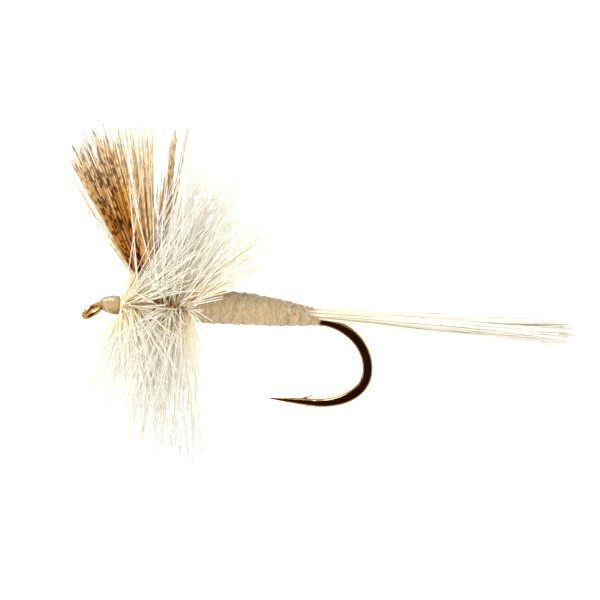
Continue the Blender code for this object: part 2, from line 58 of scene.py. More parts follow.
# Hook, as in the CAD
WIRE = 0.45
SHANK = 10.82
GAPE = 4.10
BEND_DROP = 2.36
BEND_UPPER_REACH = 2.60
BEND_LOWER_REACH = 1.80
FORGED_WIDTH = 0.36
FORGED_HEIGHT = 0.54
BEND_BOTTOM = SHANK + BEND_UPPER_REACH - BEND_LOWER_REACH
SPEAR = 3.00
SPEAR_WIRE = WIRE * 0.94
SPEAR_SLOPE = 0.05
POINT_TAPER = 2.10
BARB_FROM_POINT = 1.85
EYE_ANGLE = 36.0
EYE_RING = 0.47
EYE_REACH = 0.68
EYE_WIRE = 0.31
EYE_TWIST = -11.0

# Windings and body: x, height of the centre over the shank, radius. The head's centre is the shank's, so it
# has only (x, radius).
STEM_BED = (
    (0.81, 0.0, 0.33),
    (1.30, 0.05, 0.37),
    (1.75, 0.10, 0.42),
    (2.70, 0.17, 0.49),
    (4.40, 0.17, 0.49),
)
HEAD_CONE = (
    (-0.13, 0.20),
    (-0.06, 0.29),
    (0.09, 0.352),
    (0.23, 0.403),
    (0.42, 0.439),
    (0.61, 0.446),
    (0.76, 0.436),
)
DAM = ((0.80, 0.0, 0.30), (1.20, 0.037, 0.34), (1.75, 0.10, 0.40))
LASHING = ((2.50, 0.17, 0.455), (4.40, 0.17, 0.455))
BODY = (
    (4.66, 0.27, 0.77),
    (5.10, 0.29, 0.83),
    (6.20, 0.32, 0.81),
    (7.30, 0.32, 0.78),
    (8.80, 0.27, 0.65),
    (9.80, 0.22, 0.52),
    (10.20, 0.21, 0.45),
    (10.45, 0.20, 0.40),
    (10.65, 0.18, 0.34),
    (10.78, 0.14, 0.28),
    (10.84, 0.12, 0.20),
)
BODY_TURNS = 11
BODY_HAIRS = 5600
THREAD_RADIUS = 0.03
POST_THREAD_RADIUS = 0.034
POST_TURNS = 8

# Hackles
HACKLE_REAR = 4.40
HACKLE_REAR_END = 2.69
HACKLE_FRONT = 1.59
HACKLE_PITCH = 0.38
HACKLE_REAR_TURNS = 4.5
HACKLE_CROSSING_TURNS = 0.5
HACKLE_FRONT_TURNS = 2.0
HACKLE_BARB = 7.2
HACKLE_BARBS = 820

# Wings: side, then where the barbs' tips lie from the front of the fan to its rear, as (x, z). How rich in
# colour a barb of the left wing is goes by its place in the fan.
WING_STATION = 2.30
WING_SIDEWAYS = 13.0
WING_LONG_BARBS = 96
WING_SHORT_BARBS = 46
WING_PLACES = (0.09, 0.20, 0.46, 0.58, 0.70, 1.0)
WING_RICHNESS = (0.35, 1.0, 1.0, 0.55, 0.36, 0.22)
WING_BUTTS = 34
WINGS = {
    "left": (-1, ((-3.1, 7.5), (-2.3, 8.8), (-1.0, 9.75), (0.35, 10.3), (1.75, 9.9))),
    "right": (1, ((0.7, 9.2), (1.8, 9.2), (2.75, 9.1), (3.5, 9.25))),
}

# Tail
TAIL_START = 10.25
TAIL_END = 24.2
TAIL_HEIGHT = 0.36
TAIL_SPREAD = 3.2
TAIL_BARBS = 170


def eye_out():
    down = math.radians(EYE_ANGLE)
    return Vector((-math.cos(down), 0, -math.sin(down)))


def fly_place():
    """(turn, place) that take the fly's frame to the row's, from two mounts that are known in both."""
    mounts = {m["name"]: Vector(m["pos_m"]) for m in frame["record"]["mounts"]}
    eye, flat = mounts["tippet_eye"], mounts["bend_flat"]
    own_eye = eye_out() * EYE_REACH
    own_flat = Vector((SHANK + BEND_UPPER_REACH, -FORGED_WIDTH / 2, -BEND_DROP))
    own, real = own_flat - own_eye, flat - eye
    tilt = math.atan2(own.z, own.x) - math.atan2(real.z, real.x)
    turn = Matrix.Rotation(tilt, 3, "Y")
    return turn, eye - turn @ (own_eye * MM)


TURN, PLACE = fly_place()


def to_world(points):
    """Fly-frame points in millimetres as row-frame points in metres."""
    return np.asarray(points, float) @ np.array(TURN).T * MM + np.array(PLACE)


def mix(a, b, t):
    return a + (b - a) * t


def smooth_step(t):
    t = min(1.0, max(0.0, t))
    return t * t * (3 - 2 * t)


def along_profile(profile, x):
    """The other columns of a profile at x, on straight lines between its rows."""
    columns = np.array(profile, float).T
    return [float(np.interp(x, columns[0], c)) for c in columns[1:]]


# ---------------------------------------------------------------- camera, light and floor


def make_camera():
    """Looks at the fly's near side, rolled so that the shank lies nearly level."""
    roll, raised = math.radians(4.7), math.radians(10.0)
    distance, width_seen = 0.30, 0.030
    turn = TURN.to_4x4()
    across = turn.to_3x3() @ Vector((math.cos(roll), 0, math.sin(roll)))
    level_up = turn.to_3x3() @ Vector((-math.sin(roll), 0, math.cos(roll)))
    up = level_up * math.cos(raised) + Vector((0, 1, 0)) * math.sin(raised)
    back = across.cross(up)
    target = Vector(to_world([(9.751, 0, 1.002)])[0])
    camera = bpy.data.objects.new("camera", bpy.data.cameras.new("camera"))
    camera.data.lens = camera.data.sensor_width * distance / width_seen
    camera.data.clip_start = 0.01
    camera.data.clip_end = 10
    bpy.context.scene.collection.objects.link(camera)
    turned = Matrix((across, up, back)).transposed().to_4x4()
    camera.matrix_world = Matrix.Translation(target + back * distance) @ turned
    bpy.context.scene.camera = camera


def add_light(name, place, target, size, watts, mirrored=False):
    """A square softbox that the camera can't see. Shiny surfaces show it only if it is mirrored."""
    lamp = bpy.data.lights.new(name, "AREA")
    lamp.size = size
    lamp.energy = watts
    light = bpy.data.objects.new(name, lamp)
    light.location = place
    light.rotation_euler = (Vector(target) - Vector(place)).to_track_quat("-Z", "Y").to_euler()
    light.visible_camera = False
    light.visible_glossy = mirrored
    bpy.context.scene.collection.objects.link(light)


def make_studio():
    bpy.context.scene.view_settings.view_transform = "Standard"
    middle = (0, 0, 0.01)
    add_light("top_softbox", (0.0, -0.04, 0.27), middle, 0.13, 0.85, mirrored=True)
    add_light("front_softbox", (-0.04, -0.36, 0.13), middle, 0.30, 2.0)
    add_light("back_softbox", (0.04, 0.36, 0.12), middle, 0.30, 1.4)
    make_surroundings()


def make_surroundings():
    """White all round, but shiny surfaces show a dark room on the camera's side."""
    world = bpy.data.worlds.new("studio")
    bpy.context.scene.world = world
    world.use_nodes = True
    world.node_tree.nodes.clear()
    room = Nodes(world.node_tree)
    white = (1, 1, 1, 1)
    way = room.node("ShaderNodeTexCoord").outputs["Generated"]
    parts = room.node("ShaderNodeSeparateXYZ", {0: way})
    back = room.node("ShaderNodeMapRange", {"Value": parts.outputs["Y"], "From Min": -1, "From Max": 1})
    walls = room.ramp(back.outputs["Result"], (0.24, (0.022, 0.012, 0.008)), (0.40, (1, 1, 1)))
    soft = room.node("ShaderNodeBackground", {"Color": white, "Strength": 1.28})
    mirrored = room.node("ShaderNodeBackground", {"Color": walls, "Strength": 1.1})
    seen = room.node("ShaderNodeBackground", {"Color": white, "Strength": 1.0})
    ray = room.node("ShaderNodeLightPath").outputs
    lit = room.mixed(ray["Is Glossy Ray"], soft.outputs[0], mirrored.outputs[0])
    whole = room.mixed(ray["Is Camera Ray"], lit, seen.outputs[0])
    room.node("ShaderNodeOutputWorld", {"Surface": whole})


def make_floor():
    """White paper that glows a little, so that it stays white under the fly."""
    half = 3.0
    corners = [(-half, -half, 0), (half, -half, 0), (half, half, 0), (-half, half, 0)]
    mesh = bpy.data.meshes.new("floor")
    mesh.from_pydata(corners, [], [(0, 1, 2, 3)])
    floor = bpy.data.objects.new("floor", mesh)
    bpy.context.scene.collection.objects.link(floor)
    finish = Finish("floor_paper")
    finish.set(Base_Color=(0.93, 0.93, 0.925, 1), Roughness=0.9, Specular_IOR_Level=0.0)
    finish.set(Emission_Color=(1, 1, 1, 1), Emission_Strength=0.35)
    mesh.materials.append(finish.material)
    floor.visible_glossy = False


# ---------------------------------------------------------------- finishes


class Nodes:
    """Short ways to add nodes to a tree."""

    def __init__(self, tree):
        self.tree = tree

    def feed(self, socket, value):
        """Links an output to the socket, or gives the socket a value of its own."""
        if isinstance(value, bpy.types.NodeSocket):
            self.tree.links.new(value, socket)
        else:
            socket.default_value = value

    def node(self, kind, inputs=(), **settings):
        made = self.tree.nodes.new(kind)
        for key, value in settings.items():
            setattr(made, key, value)
        for socket, value in dict(inputs).items():
            self.feed(made.inputs[socket], value)
        return made

    def math(self, operation, *values):
        return self.node("ShaderNodeMath", dict(enumerate(values)), operation=operation).outputs[0]

    def mixed(self, share, first, second):
        """Two shaders mixed, with this share of the second."""
        return self.node("ShaderNodeMixShader", {0: share, 1: first, 2: second}).outputs[0]

    def ramp(self, value, *stops):
        """A colour ramp from (position, colour) stops."""
        made = self.node("ShaderNodeValToRGB", {"Fac": value})
        marks = made.color_ramp.elements
        while len(marks) < len(stops):
            marks.new(0.5)
        for mark, (position, colour) in zip(marks, stops):
            mark.position = position
            mark.color = (*colour, 1)
        return made.outputs["Color"]


class Finish(Nodes):
    """A material with its main shader, and short ways to build its look."""

    def __init__(self, name):
        self.material = bpy.data.materials.new(name)
        self.material.use_nodes = True
        super().__init__(self.material.node_tree)
        self.shader = self.tree.nodes["Principled BSDF"]
        self.output = self.tree.nodes["Material Output"]

    def attribute(self, name, output="Fac"):
        return self.node("ShaderNodeAttribute", attribute_name=name).outputs[output]

    def object_place(self):
        return self.node("ShaderNodeTexCoord").outputs["Object"]

    def noise(self, place, scale, detail=2.0, rough=0.5):
        inputs = {"Vector": place, "Scale": scale, "Detail": detail, "Roughness": rough}
        return self.node("ShaderNodeTexNoise", inputs).outputs[0]

    def wave(self, place, scale, distortion, direction):
        inputs = {"Vector": place, "Scale": scale, "Distortion": distortion}
        return self.node("ShaderNodeTexWave", inputs, bands_direction=direction).outputs["Fac"]

    def rise(self, value, low, high, most=1.0):
        """Nothing up to low, then a straight slope to most at high."""
        return self.ramp(value, (low, (0, 0, 0)), (high, (most, most, most)))

    def blend(self, share, first, second):
        """Two colours mixed, with this share of the second. Each is an output or a plain colour."""
        first, second = ((*c, 1) if isinstance(c, tuple) else c for c in (first, second))
        made = self.node("ShaderNodeMix", {0: share, 6: first, 7: second}, data_type="RGBA")
        return made.outputs[2]

    def bump(self, height, distance, strength=1.0):
        inputs = {"Height": height, "Distance": distance, "Strength": strength}
        return self.node("ShaderNodeBump", inputs).outputs[0]

    def set(self, **values):
        """Sets the main shader's inputs, with underscores for spaces in their names."""
        for name, value in values.items():
            self.feed(self.shader.inputs[name.replace("_", " ")], value)

    def show(self, shader):
        self.feed(self.output.inputs["Surface"], shader)

    def let_light_through(self, share, colour):
        """Light that falls on the far side of a thin fibre shows on this one."""
        through = self.node("ShaderNodeBsdfTranslucent", {"Color": colour})
        self.show(self.mixed(share, self.shader.outputs[0], through.outputs[0]))


def feather_finish(name, root, tip, through, rough=0.42, foot=(1.0, 0.885, 0.64)):
    """Barbs that turn from one colour to another between foot, root and tip, each a little different from
    its neighbours. through is how much of the light on their far side shows on this one.
    """
    finish = Finish(name)
    reach, tint = finish.attribute("reach"), finish.attribute("tint")
    colour = finish.blend(finish.math("POWER", reach, 1.1), root, tip)
    near_foot = finish.ramp(reach, (0.03, (0.85, 0.85, 0.85)), (0.34, (0, 0, 0)))
    colour = finish.blend(near_foot, colour, foot)
    colour = finish.blend(finish.math("MULTIPLY", tint, 0.22), colour, tuple(0.86 * c for c in root))
    speckle = finish.noise(finish.object_place(), 2600, 2.0)
    colour = finish.blend(finish.math("MULTIPLY", speckle, 0.10), colour, (0.72, 0.66, 0.56))
    finish.set(Base_Color=colour, Roughness=rough, Specular_IOR_Level=0.2)
    finish.let_light_through(through, colour)
    return finish.material


def flank_finish(name):
    """Barred flank barbs. lay holds (place across the feather, millimetres along, richness of colour)."""
    finish = Finish(name)
    lay = finish.attribute("lay", "Vector")
    reach, tint = finish.attribute("reach"), finish.attribute("tint")
    rich = finish.node("ShaderNodeSeparateXYZ", {0: lay}).outputs["Z"]
    pale, pale_tip, faded = (0.70, 0.58, 0.38), (0.72, 0.62, 0.43), (0.68, 0.50, 0.26)
    tan, brown, dark = (0.60, 0.30, 0.060), (0.31, 0.096, 0.005), (0.034, 0.008, 0.001)
    base = finish.blend(finish.rise(rich, 0.0, 0.5), pale, tan)
    base = finish.blend(finish.rise(rich, 0.42, 0.95), base, brown)
    base = finish.blend(finish.rise(reach, 0.62, 1.0, 0.75), base, pale_tip)
    base = finish.blend(finish.math("MULTIPLY", tint, 0.22), base, faded)
    stretched = finish.node("ShaderNodeVectorMath", {0: lay, 1: (9.0, 2.3, 0.0)}, operation="MULTIPLY")
    bars = finish.rise(finish.noise(stretched.outputs[0], 1.0, 1.0, 0.5), 0.50, 0.57)
    bars = finish.math("MULTIPLY", bars, finish.math("MULTIPLY_ADD", rich, 0.80, 0.18))
    colour = finish.blend(bars, base, dark)
    finish.set(Base_Color=colour, Roughness=0.7, Specular_IOR_Level=0.05)
    finish.let_light_through(0.35, colour)
    return finish.material


def fur_finish():
    """Felted underfur with darker clouds and a few rusty specks."""
    finish = Finish("spun_fur")
    place = finish.object_place()
    felt = finish.noise(place, 5200, 4.0, 0.65)
    shades = ((0.25, (0.215, 0.155, 0.079)), (0.55, (0.27, 0.20, 0.107)), (0.80, (0.40, 0.315, 0.19)))
    colour = finish.ramp(felt, *shades)
    clouds = finish.noise(place, 900, 2.0)
    colour = finish.blend(finish.rise(clouds, 0.45, 0.75, 0.35), colour, (0.26, 0.16, 0.07))
    specks = finish.noise(place, 3300, 1.0)
    colour = finish.blend(finish.rise(specks, 0.69, 0.76, 0.8), colour, (0.78, 0.36, 0.10))
    normal = finish.bump(finish.noise(place, 9000, 3.0, 0.7), 0.00003, 0.8)
    finish.set(Base_Color=colour, Roughness=0.95, Normal=normal, Specular_IOR_Level=0.1)
    finish.set(Sheen_Weight=0.4, Sheen_Roughness=0.5)
    return finish.material


def thread_finish(name, valley, crest, grime_colour):
    """Thread of two plies twisted together, with a dull silk gloss."""
    finish = Finish(name)
    plies = finish.wave(finish.attribute("lay", "Vector"), 6.0, 0.6, "DIAGONAL")
    colour = finish.blend(plies, valley, crest)
    grime = finish.noise(finish.object_place(), 1800, 3.0)
    colour = finish.blend(finish.math("MULTIPLY", grime, 0.3), colour, grime_colour)
    finish.set(Base_Color=colour, Roughness=0.5, Normal=finish.bump(plies, 0.000006, 0.5))
    return finish.material


def hidden_thread_finish():
    """Close windings round the shank, for the layers that lie under the others. Their cream is lighter than
    the head's thread: partly the thread's own colour, partly painted light against the shade of the fibres
    over them.
    """
    finish = Finish("wound_thread")
    turns = finish.wave(finish.object_place(), 9000, 0.4, "X")
    colour = finish.blend(turns, (0.60, 0.48, 0.29), (0.76, 0.65, 0.44))
    finish.set(Base_Color=colour, Roughness=0.55, Normal=finish.bump(turns, 0.00001, 0.7))
    return finish.material


def bronze_finish():
    """Black steel under bronze lacquer, a little uneven and worn lighter in places."""
    finish = Finish("bronzed_steel")
    place = finish.object_place()
    uneven = finish.noise(place, 1500, 4.0, 0.6)
    colour = finish.ramp(uneven, (0.30, (0.42, 0.21, 0.07)), (0.70, (0.66, 0.38, 0.15)))
    rough = finish.node("ShaderNodeMapRange", {"Value": uneven, "To Min": 0.08, "To Max": 0.18}).outputs[0]
    normal = finish.bump(finish.noise(place, 6000, 2.0), 0.000004, 0.35)
    finish.set(Base_Color=colour, Metallic=1.0, Roughness=rough, Normal=normal)
    finish.set(Specular_Tint=(0.95, 0.62, 0.30, 1))
    return finish.material


def varnish_finish():
    """A clear film: what lies under it shows, with a wet gloss over it."""
    finish = Finish("head_varnish")
    ripple = finish.bump(finish.noise(finish.object_place(), 1400, 2.0), 0.00001, 0.2)
    inputs = {"Color": (1, 1, 1, 1), "Roughness": 0.08, "Normal": ripple}
    shine = finish.node("ShaderNodeBsdfGlossy", inputs)
    clear = finish.node("ShaderNodeBsdfTransparent", {"Color": (0.97, 0.93, 0.84, 1)})
    edge = finish.node("ShaderNodeFresnel", {"IOR": 1.5, "Normal": ripple})
    finish.show(finish.mixed(edge.outputs[0], clear.outputs[0], shine.outputs[0]))
    return finish.material


# ---------------------------------------------------------------- strands and what grows on them


class Strands:
    """Centre lines of fibres, each with its radius, its barbules' length and what its colour needs."""

    def __init__(self):
        self.places, self.edges, self.count = [], [], 0
        self.thick, self.fringe, self.reach = [], [], []
        self.tint, self.lay, self.flat = [], [], []

    def add(self, line, thick, fringe=0.0, flat=(0, 0, 1), tint=0.5, across=0.0, rich=0.5):
        """line is in fly-frame millimetres. thick, the radius, and fringe, the barbules' length, are numbers
        or one value for each point. Barbules stand along flat. tint, across and rich go to the finish.
        """
        line = np.asarray(line, float)
        n = len(line)
        run = np.concatenate([[0], np.cumsum(np.linalg.norm(np.diff(line, axis=0), axis=1))])
        place = to_world(line)
        place[:, 2] = FLOOR_GAP + FLOOR_EASE * np.logaddexp(0, (place[:, 2] - FLOOR_GAP) / FLOOR_EASE)
        self.places.append(place)
        self.edges.append(np.stack([np.arange(n - 1), np.arange(1, n)], 1) + self.count)
        self.count += n
        self.thick.append(np.broadcast_to(np.asarray(thick, float) * MM, n))
        self.fringe.append(np.broadcast_to(np.asarray(fringe, float) * MM, n))
        self.reach.append(run / run[-1])
        self.tint.append(np.full(n, tint))
        rich = np.broadcast_to(np.asarray(rich, float), n)
        self.lay.append(np.stack([np.full(n, across), run, rich], 1))
        self.flat.append(np.broadcast_to(np.array(TURN) @ np.asarray(flat, float), (n, 3)))

    def guide(self, name):
        """The strands as one object, for a tree to grow on."""
        mesh = bpy.data.meshes.new(name + "_guide")
        points, edges = np.concatenate(self.places), np.concatenate(self.edges)
        mesh.vertices.add(len(points))
        mesh.vertices.foreach_set("co", points.astype(np.float32).ravel())
        mesh.edges.add(len(edges))
        mesh.edges.foreach_set("vertices", edges.astype(np.int32).ravel())
        for label in ("thick", "fringe", "reach", "tint"):
            values = np.concatenate(getattr(self, label)).astype(np.float32)
            mesh.attributes.new(label, "FLOAT", "POINT").data.foreach_set("value", values)
        for label in ("lay", "flat"):
            values = np.concatenate(getattr(self, label)).astype(np.float32)
            layer = mesh.attributes.new(label, "FLOAT_VECTOR", "POINT")
            layer.data.foreach_set("vector", values.ravel())
        guide = bpy.data.objects.new(name + "_guide", mesh)
        bpy.context.scene.collection.objects.link(guide)
        return guide


class Tree(Nodes):
    """A Geometry Nodes tree with named inputs."""

    def __init__(self, name, **numbers):
        super().__init__(bpy.data.node_groups.new(name, "GeometryNodeTree"))
        face = self.tree.interface
        face.new_socket("Geometry", in_out="INPUT", socket_type="NodeSocketGeometry")
        face.new_socket("Geometry", in_out="OUTPUT", socket_type="NodeSocketGeometry")
        face.new_socket("Finish", in_out="INPUT", socket_type="NodeSocketMaterial")
        for label, value in numbers.items():
            kind = "NodeSocketInt" if isinstance(value, int) else "NodeSocketFloat"
            face.new_socket(label, in_out="INPUT", socket_type=kind).default_value = value
        self.source = self.tree.nodes.new("NodeGroupInput")
        self.sink = self.tree.nodes.new("NodeGroupOutput")

    def input(self, label):
        return self.source.outputs[label]

    def named(self, name, data_type="FLOAT"):
        made = self.node("GeometryNodeInputNamedAttribute", {"Name": name}, data_type=data_type)
        return made.outputs[0]

    def vector(self, operation, *values):
        made = self.node("ShaderNodeVectorMath", dict(enumerate(values)), operation=operation)
        return made.outputs[0]

    def scaled(self, vector, factor):
        made = self.node("ShaderNodeVectorMath", {0: vector, "Scale": factor}, operation="SCALE")
        return made.outputs[0]

    def random(self, low, high, seed):
        inputs = {2: low, 3: high, "Seed": seed}
        return self.node("FunctionNodeRandomValue", inputs, data_type="FLOAT").outputs[1]

    def finish(self, geometry):
        """Ends the tree with plain geometry in its finish."""
        real = self.node("GeometryNodeRealizeInstances", {"Geometry": geometry})
        inputs = {"Geometry": real.outputs[0], "Material": self.input("Finish")}
        self.feed(self.sink.inputs[0], self.node("GeometryNodeSetMaterial", inputs).outputs[0])
        return self.tree


def fibre_tree():
    """Round tapered fibres along the strands."""
    tree = Tree("fibres", Sides=3)
    curve = tree.node("GeometryNodeMeshToCurve", {"Mesh": tree.input("Geometry")})
    inputs = {"Resolution": tree.input("Sides"), "Radius": 1.0}
    ring = tree.node("GeometryNodeCurvePrimitiveCircle", inputs)
    inputs = {"Curve": curve.outputs[0], "Profile Curve": ring.outputs[0], "Fill Caps": True}
    body = tree.node("GeometryNodeCurveToMesh", {**inputs, "Scale": tree.named("thick")})
    inputs = {"Geometry": body.outputs[0], "Shade Smooth": True}
    return tree.finish(tree.node("GeometryNodeSetShadeSmooth", inputs).outputs[0])


def barbule_tree():
    """Fine straight hairs down both sides of each strand, in the strand's flat."""
    tree = Tree("barbules", Spacing=0.0001, Width=0.000008, Angle=0.7, Scatter=0.5)
    curve = tree.node("GeometryNodeMeshToCurve", {"Mesh": tree.input("Geometry")})
    inputs = {"Curve": curve.outputs[0], "Length": tree.input("Spacing")}
    dots = tree.node("GeometryNodeCurveToPoints", inputs, mode="LENGTH")
    tangent = dots.outputs["Tangent"]
    flat = tree.named("flat", "FLOAT_VECTOR")
    lean = tree.node("ShaderNodeVectorMath", {0: flat, 1: tangent}, operation="DOT_PRODUCT")
    leaning = tree.scaled(tangent, lean.outputs["Value"])
    side = tree.vector("NORMALIZE", tree.vector("SUBTRACT", flat, leaning))
    half_turn = tree.math("MULTIPLY", tree.math("GREATER_THAN", tree.random(0, 1, 3), 0.5), math.pi)
    roll = tree.math("ADD", half_turn, tree.math("MULTIPLY", tree.random(-1, 1, 5), tree.input("Scatter")))
    turned = tree.node("FunctionNodeAxisAngleToRotation", {"Axis": tangent, "Angle": roll})
    out = tree.node("FunctionNodeRotateVector", {"Vector": side, "Rotation": turned.outputs[0]}).outputs[0]
    angle = tree.math("MULTIPLY", tree.input("Angle"), tree.random(0.7, 1.25, 9))
    onward, outward = tree.math("COSINE", angle), tree.math("SINE", angle)
    way = tree.vector("ADD", tree.scaled(tangent, onward), tree.scaled(out, outward))
    facing = tree.node("FunctionNodeAlignRotationToVector", {"Vector": way}, axis="Z")
    length = tree.math("MULTIPLY", tree.named("fringe"), tree.random(0.55, 1.0, 7))
    inputs = {"Vertices": 3, "Side Segments": 1, "Fill Segments": 1}
    inputs.update({"Radius Top": 0.0, "Radius Bottom": 1.0, "Depth": 1.0})
    hair = tree.node("GeometryNodeMeshCone", inputs)
    width = tree.input("Width")
    size = tree.node("ShaderNodeCombineXYZ", {0: width, 1: width, 2: length})
    worth_growing = tree.math("GREATER_THAN", tree.named("fringe"), 0.00002)
    planted = tree.node(
        "GeometryNodeInstanceOnPoints",
        {
            "Points": dots.outputs[0],
            "Selection": worth_growing,
            "Instance": hair.outputs[0],
            "Rotation": facing.outputs[0],
            "Scale": size.outputs[0],
        },
    )
    return tree.finish(planted.outputs[0])


def grow(name, guide, tree, finish, slot, **numbers):
    """Runs a tree on a guide and keeps the result as a plain mesh."""
    modifier = guide.modifiers.new("grow", "NODES")
    modifier.node_group = tree
    inputs = [item for item in tree.interface.items_tree if item.in_out == "INPUT"]
    ids = {item.name: item.identifier for item in inputs}
    modifier[ids["Finish"]] = finish
    for label, value in numbers.items():
        modifier[ids[label]] = value
    graph = bpy.context.evaluated_depsgraph_get()
    grown = guide.evaluated_get(graph)
    mesh = bpy.data.meshes.new_from_object(grown, preserve_all_data_layers=True, depsgraph=graph)
    guide.modifiers.remove(modifier)
    if not mesh.materials:
        mesh.materials.append(finish)
    return add_piece(name, mesh)


def add_piece(name, mesh):
    mesh.name = name
    piece = bpy.data.objects.new(name, mesh)
    bpy.context.scene.collection.objects.link(piece)
    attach(piece, "root")
    return piece


def remove_guide(guide):
    mesh = guide.data
    bpy.data.objects.remove(guide)
    bpy.data.meshes.remove(mesh)


def grow_fibres(name, strands, fibres, finish, slot, sides):
    """One piece of bare fibres."""
    guide = strands.guide(name)
    piece = grow(name, guide, fibres, finish, slot, Sides=sides)
    remove_guide(guide)
    return piece


def grow_feather(name, strands, trees, finishes, slot, sides, **web):
    """The barbs, and their barbules as a piece of their own. Returns the barbs."""
    (fibres, barbules), (finish, web_finish) = trees, finishes
    guide = strands.guide(name)
    barbs = grow(name + "_barbs", guide, fibres, finish, slot, Sides=sides)
    grow(name + "_web", guide, barbules, web_finish, slot, **web)
    remove_guide(guide)
    return barbs


def wind(name, lines, fibres, finish, sides=6, radius=THREAD_RADIUS):
    """Thread along these lines."""
    strands = Strands()
    for line in lines:
        strands.add(line, radius)
    return grow_fibres(name, strands, fibres, finish, "cream_thread", sides)


def bent_line(start, way, length, points, bend=(0, 0, 0), power=2.0):
    """A line from start along way, which bend carries off towards its tip."""
    way, bend = np.asarray(way, float), np.asarray(bend, float)
    way = way / np.linalg.norm(way)
    t = np.linspace(0, 1, points)[:, None]
    return np.asarray(start, float) + way * length * t + bend * t**power


def random_way():
    """A unit vector, no way likelier than another."""
    v = np.array([chance.gauss(0, 1) for _ in range(3)])
    return v / np.linalg.norm(v)


# ---------------------------------------------------------------- hook


def hook_stations():
    """[(centre, height, width)] from the point round the bend and along the shank to the eye's end."""
    stations = []
    for i in range(26):
        t = i / 25
        size = mix(0.02, SPEAR_WIRE, t**0.72)
        x = BEND_BOTTOM - SPEAR - 0.06 + t * POINT_TAPER
        stations.append((Vector((x, 0, -GAPE - SPEAR_SLOPE * t)), size, size))
    steps, early = 60, 0.75
    for i in range(steps):
        a = math.pi / 2 * (1 - i / (steps - 1))
        forged = smooth_step(i / 34)
        x = BEND_BOTTOM - early + (BEND_LOWER_REACH + early) * math.cos(a)
        z = -BEND_DROP - (GAPE + SPEAR_SLOPE - BEND_DROP) * math.sin(a) ** 0.93
        height, width = mix(SPEAR_WIRE, FORGED_HEIGHT, forged), mix(SPEAR_WIRE, FORGED_WIDTH, forged)
        stations.append((Vector((x, 0, z)), height, width))
    for i in range(1, steps):
        a = math.pi / 2 * (1 - i / (steps - 1))
        forged = smooth_step((steps - 1 - i) / 28)
        x, z = SHANK + BEND_UPPER_REACH * math.sin(a), -BEND_DROP + BEND_DROP * math.cos(a)
        height, width = mix(WIRE, FORGED_HEIGHT, forged), mix(WIRE, FORGED_WIDTH, forged)
        stations.append((Vector((x, 0, z)), height, width))
    stations.append((Vector((0.30, 0, 0)), WIRE, WIRE))
    return stations + eye_stations()


def eye_stations():
    """The wire from the shank into the eye's ring and round it, with a gap left where it ends."""
    out = eye_out()
    across = Matrix.Rotation(math.radians(EYE_TWIST), 3, out) @ Vector((0, 1, 0))

    def ring(degrees):
        q = math.radians(degrees)
        return out * (EYE_REACH + EYE_RING * math.cos(q)) + across * EYE_RING * math.sin(q)

    joins, ends, steps = 128, -161, 64
    start, start_pull = Vector((0.03, 0, 0)), Vector((-0.14, 0, 0))
    q = math.radians(joins)
    finish, finish_pull = ring(joins), (out * math.sin(q) - across * math.cos(q)) * 0.20
    controls = (start, start + start_pull, finish - finish_pull, finish)
    stations = []
    for i in range(14):
        t = i / 14
        weights = ((1 - t) ** 3, 3 * t * (1 - t) ** 2, 3 * t * t * (1 - t), t**3)
        size = mix(WIRE * 0.97, EYE_WIRE, smooth_step(t))
        stations.append((sum((c * w for c, w in zip(controls, weights)), Vector()), size, size))
    for i in range(steps):
        size = mix(EYE_WIRE, EYE_WIRE * 0.84, i / (steps - 1))
        stations.append((ring(mix(joins, ends, i / (steps - 1))), size, size))
    return stations


def tube_faces(rings, sides):
    """Faces of a tube through rings of points, with its two ends closed."""
    faces = []
    for i in range(rings - 1):
        for j in range(sides):
            k = (j + 1) % sides
            faces.append((i * sides + j, i * sides + k, (i + 1) * sides + k, (i + 1) * sides + j))
    last = (rings - 1) * sides
    return faces + [tuple(reversed(range(sides))), tuple(range(last, last + sides))]


def swept(stations, sides, side=Vector((0, 1, 0))):
    """Points and faces of a tube with flats where its width is less than its height."""
    points = []
    for i, (centre, height, width) in enumerate(stations):
        ahead = stations[min(i + 1, len(stations) - 1)][0]
        behind = stations[max(i - 1, 0)][0]
        along = (ahead - behind).normalized()
        side = (side - along * side.dot(along)).normalized()
        up = side.cross(along)
        limit = width / 2
        for j in range(sides):
            q = 2 * math.pi * j / sides
            flat = math.sin(q) * height / 2
            if height > width + 1e-6:
                share = min(1.0, abs(flat) / (height / 2))
                flat = math.copysign(limit * (1 - (1 - share) ** 1.3), flat)
            points.append(centre + side * flat + up * math.cos(q) * height / 2)
    return points, tube_faces(len(stations), sides)


def add_solid(name, points, faces, finish, slot, sharp=60.0):
    """A piece from fly-frame points in millimetres, smooth but for edges that turn by over sharp degrees."""
    mesh = bpy.data.meshes.new(name)
    mesh.from_pydata([tuple(p) for p in to_world([tuple(p) for p in points])], [], faces)
    tidy = bmesh.new()
    tidy.from_mesh(mesh)
    bmesh.ops.recalc_face_normals(tidy, faces=tidy.faces)
    tidy.to_mesh(mesh)
    tidy.free()
    mesh.materials.append(finish)
    mesh.shade_smooth()
    mesh.set_sharp_from_angle(angle=math.radians(sharp))
    return add_piece(name, mesh)


def make_hook(finish):
    piece = add_solid("hook_wire", *swept(hook_stations(), 28), finish, "bronzed_steel")
    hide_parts("hook")
    root = BEND_BOTTOM - SPEAR + BARB_FROM_POINT
    barb = []
    for i in range(12):
        t = i / 11
        place = Vector((root - 0.20 + 0.82 * t, 0, -GAPE - 0.03 + WIRE * 0.34 + 0.42 * t**1.25))
        barb.append((place, mix(0.11, 0.02, t), mix(0.20, 0.02, t)))
    add_solid("hook_barb", *swept(barb, 12), finish, "bronzed_steel")


# ---------------------------------------------------------------- thread and varnish


